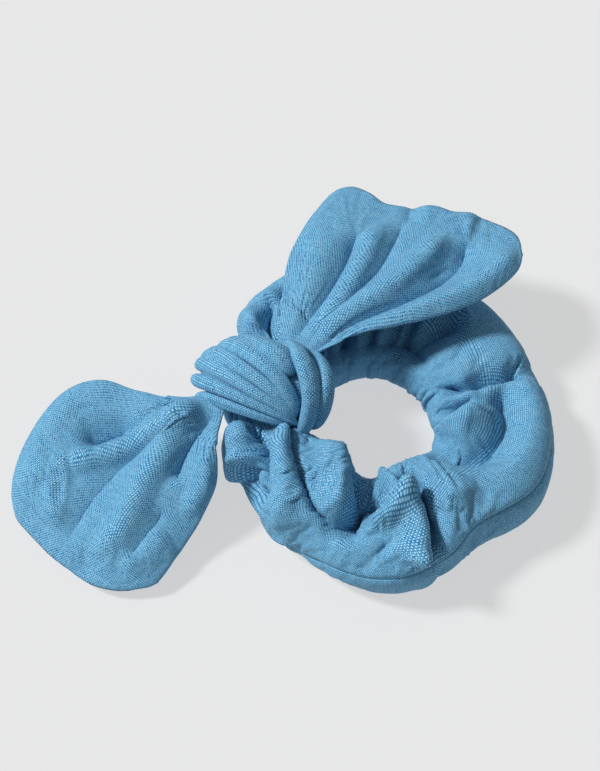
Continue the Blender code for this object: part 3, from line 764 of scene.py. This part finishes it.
def build_ear(ear):
    grid, puff = ear_middle(ear)
    rows, columns = grid.shape[:2]
    middle = grid.reshape(-1, 3)
    slope = np.gradient(grid, axis=(0, 1))
    normal = np.cross(slope[0], slope[1]).reshape(-1, 3)
    normal /= np.linalg.norm(normal, axis=1, keepdims=True)
    normal *= np.sign(normal[:, 2:3])
    faces, rim = pouch_faces(rows, columns)
    local = np.vstack([middle + normal * puff, middle - normal * (puff * EAR_BACK)])
    local[rim] = middle[rim]
    used = np.zeros(len(local), bool)
    used[[k for f in faces for k in f]] = True
    renumber = np.cumsum(used) - 1
    faces = [tuple(int(renumber[k]) for k in f) for f in faces]
    points = ear.world(local)[used]
    along = np.tile(middle[:, 0], 2)[used]
    hold = np.where(along < EAR_HELD_TO, 1.0, EAR_LOOSE)
    settled = relax(points, faces, hold, frames=10, grow=0.018, distance=0.4)
    points = points + capped(settled - points, EAR_MOST)
    points[:, 2] = np.maximum(points[:, 2], EAR_LOWEST)
    weave = weave_of(grid).reshape(-1, 2)
    uv = np.vstack([weave, weave + [BACK_WEAVE, 0]])[used]
    made = place(f"{ear.name}_ear_cloth", points, faces, uv)
    made.data.materials.append(CLOTH)
    start, end = ear.world([(-1.0, 0, 0), (7.0, 0, 0)]) + HOLE
    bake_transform(made)
    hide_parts(f"tie_{ear.name}_neck", f"{ear.name}_ear_face_panel", f"{ear.name}_ear_back_panel",
                f"{ear.name}_ear_seam_thread")


# --- the knot ------------------------------------------------------------------

def knot_place(points):
    """Knot frame (radial, tangent, height) to millimetres round the hole."""
    p = np.asarray(points, float)
    return RADIAL * (NECK_RADIUS + p[:, :1]) + TANGENT * p[:, 1:2] + UP * p[:, 2:3]


def band(path, wide, thick, start, pinch, middle):
    """A flattened roll of cloth laid along a path, its width square to the line from middle."""
    steps, around = 56, 26
    thin = 5  # mm, half thickness below which a roll ends bluntly
    p = through(path, steps)
    ahead = np.gradient(p, axis=0)
    ahead /= np.linalg.norm(ahead, axis=1, keepdims=True)
    out = p - np.array([middle])
    out -= np.sum(out * ahead, axis=1, keepdims=True) * ahead
    out /= np.linalg.norm(out, axis=1, keepdims=True)
    side = np.cross(ahead, out)
    s = np.linspace(0, 1, steps)
    blunt = 8 if thick < thin else 2.2  # the knot's core is round
    full = np.sqrt(np.clip(1 - np.abs(2 * s - 1) ** blunt, 0.001, 1)) * (1 - pinch * smooth(s))
    a = np.linspace(0, 2 * np.pi, around, endpoint=False)
    c, q = np.cos(a), np.sin(a)
    groove = 1 - 0.16 * np.exp(-((a - 1.9) / 0.22) ** 2) - 0.10 * np.exp(-((a - 0.9) / 0.18) ** 2)
    ring = (side[:, None] * (np.sign(c) * np.abs(c) ** 0.9 * wide)[None, :, None]
            + out[:, None] * (q * thick * groove)[None, :, None])
    points = (p[:, None] + ring * full[:, None, None]).reshape(-1, 3)
    faces = grid_faces(steps, around, start, wrap=True)
    faces.append(tuple(start + k for k in reversed(range(around))))
    faces.append(tuple(start + (steps - 1) * around + k for k in range(around)))
    length = np.r_[0, np.cumsum(np.linalg.norm(np.diff(p, axis=0), axis=1))]
    girth = 3.4 * wide
    uv = np.stack(np.meshgrid(length, a / (2 * np.pi) * girth, indexing="ij"), axis=2).reshape(-1, 2)
    return points, faces, uv


# Rolls of cloth as (path, half width, half thickness, how far it narrows towards its end).
KNOT_CORE = ([(24, -3, 26.5), (12, -2.0, 28.5), (2, 0, 29), (-8, 2, 28.5), (-19, 2, 27.5)], 10.5, 9.5, 0.0)
KNOT_FOLDS = [
    ([(13, -12, 24), (10, -10, 33), (4, -7, 38.5), (-3, -4, 41.0), (-9, 0, 38)],
     4.6, 2.8, 0.1),
    ([(19, -9.5, 26), (13, -6.5, 35.5), (5, -2.0, 40.3), (-4, 3.0, 40.3), (-10, 7, 36), (-13, 9.5, 31)],
     4.0, 2.6, 0.4),
    ([(23, -6, 25), (17.5, -3, 33), (9, 2.0, 38.3), (0, 5.8, 38.8), (-8, 8.4, 35.6), (-13, 10, 30)],
     2.9, 2.3, 0.4),
    ([(25, -2, 25), (19.5, 1, 31.4), (10, 5.6, 36), (1, 8.8, 36.2), (-8, 10.2, 33.4), (-13, 11, 29)],
     2.7, 2.2, 0.4),
    ([(25, 3, 23.5), (19, 6, 28.8), (9, 9.3, 32.6), (0, 11.0, 32.8), (-9, 11.4, 30.6), (-14, 11, 27)],
     2.6, 2.1, 0.4),
    ([(22, 8, 21.5), (15, 9.8, 26), (6, 11.8, 28.6), (-3, 12.4, 28.6), (-12, 11.2, 26.4)],
     2.6, 2.0, 0.3),
]
OVER_FOLDS = [
    ([(-3, -13, 24), (-5.5, -11, 33.5), (-9.5, -6, 39.3), (-13.5, -0.5, 39.8), (-16.4, 5, 36),
      (-16.6, 9.4, 29), (-15, 10.6, 22)],
     4.6, 3.0, 0.15),
    ([(-9, -13, 24), (-13, -10.5, 32), (-17.6, -5, 36), (-20, 1.0, 35), (-20, 6, 29), (-17.5, 8, 22)],
     3.6, 2.6, 0.1),
]
KNOT_MIDDLE = (3.0, 0.0, 28.0)

# The tie's turn round the ring: one path, repeated side by side.
LOOP_PATH = [(-12.4, 24.5), (-12.6, 14), (-11.4, 6.0), (-7.5, 2.6), (0, 2.25), (7.5, 2.6), (11.4, 6.0),
             (12.6, 14), (12.4, 24.5)]
LOOP_SHIFTS = (-4.6, 0.0, 4.6)
LOOP_MIDDLE = (0.0, 0.0, 14.0)
WEAVE_SHIFT = 31.0  # mm of weave between one roll's pattern and the next


def rolled(name, bands, middle):
    """One piece of cloth made of bands, each (path, half width, half thickness, narrowing)."""
    points, faces, uv = [], [], []
    count = 0
    for k, (path, wide, thick, pinch) in enumerate(bands):
        more, around, weave = band(path, wide, thick, count, pinch, middle)
        points.append(more)
        faces += around
        uv.append(weave + [0, WEAVE_SHIFT * k])
        count += len(more)
    made = place(name, knot_place(np.vstack(points)), faces, np.vstack(uv))
    made.data.materials.append(CLOTH)
    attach(made, "ring")
    return made


def build_knot():
    knot = rolled("knot_cloth", [KNOT_CORE] + KNOT_FOLDS + OVER_FOLDS, KNOT_MIDDLE)
    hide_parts("tie_knot_wrap")


def build_back_loop():
    """The tie's turn round the ring under the knot: a strap of three soft folds."""
    bands = [([(r, shift, z) for r, z in LOOP_PATH], 2.9, 1.75, 0.0) for shift in LOOP_SHIFTS]
    loop = rolled("back_loop_cloth", bands, LOOP_MIDDLE)
    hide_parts("tie_back_loop")


# --- everything ----------------------------------------------------------------

FLOOR_GREY = 0.20
FLOOR_GLOW = 0.57  # the floor gives off some light, which keeps its shadows pale
ROOM_LIGHT = 0.29
SUN_LIGHT = 3.6
SUN_SOFTNESS = math.radians(10)
SUN_TOWARDS = (0.84, -0.14, -1.0)

CAMERA_RISE = math.radians(60)
CAMERA_AWAY = 0.6007  # metres
CAMERA_TARGET = (-24.5, 17.5, 15.0)


def floor_and_light():
    floor = bpy.data.meshes.new("floor")
    reach = 4.0  # metres
    floor.from_pydata([(-reach, -reach, 0), (reach, -reach, 0), (reach, reach, 0), (-reach, reach, 0)],
                      [], [(0, 1, 2, 3)])
    board = bpy.data.objects.new("floor", floor)
    bpy.context.scene.collection.objects.link(board)
    n = Nodes("pale_floor")
    n.shader.inputs["Base Color"].default_value = (FLOOR_GREY, FLOOR_GREY, FLOOR_GREY, 1.0)
    n.shader.inputs["Emission Color"].default_value = (1.0, 1.0, 1.0, 1.0)
    n.shader.inputs["Emission Strength"].default_value = FLOOR_GLOW
    n.shader.inputs["Roughness"].default_value = 0.9
    n.shader.inputs["Specular IOR Level"].default_value = 0.1
    floor.materials.append(n.material)
    world = bpy.data.worlds.new("soft_room")
    world.use_nodes = True
    background = world.node_tree.nodes["Background"]
    background.inputs["Color"].default_value = (0.96, 0.98, 1.0, 1.0)
    background.inputs["Strength"].default_value = ROOM_LIGHT
    bpy.context.scene.world = world
    sun = bpy.data.lights.new("window", "SUN")
    sun.energy = SUN_LIGHT
    sun.angle = SUN_SOFTNESS
    sun.color = (0.985, 0.99, 1.0)
    lamp = bpy.data.objects.new("window", sun)
    bpy.context.scene.collection.objects.link(lamp)
    lamp.rotation_euler = Vector(SUN_TOWARDS).to_track_quat("-Z", "Y").to_euler()


def camera():
    """The view from 60 degrees above the table, along +Y."""
    lens = bpy.data.cameras.new("camera")
    lens.lens = 85.0
    lens.sensor_width = 36.0
    eye = bpy.data.objects.new("camera", lens)
    bpy.context.scene.collection.objects.link(eye)
    target = Vector((HOLE + np.array(CAMERA_TARGET)) * MM)
    eye.location = target + Vector((0, -math.cos(CAMERA_RISE), math.sin(CAMERA_RISE))) * CAMERA_AWAY
    eye.rotation_euler = (math.pi / 2 - CAMERA_RISE, 0, 0)
    bpy.context.scene.camera = eye
    bpy.context.scene.view_settings.view_transform = "Standard"


def dress_cad(node, finish):
    materials = frame["nodes"][node].data.materials
    materials.clear()
    materials.append(finish)


floor_and_light()
camera()
build_ring()
for ear in (UPPER, LOWER):
    build_ear(ear)
build_back_loop()
build_knot()
dress_cad("elastic_band", ELASTIC)
for node in ("elastic_lap_stitches", "ring_closing_thread"):
    dress_cad(node, THREAD)
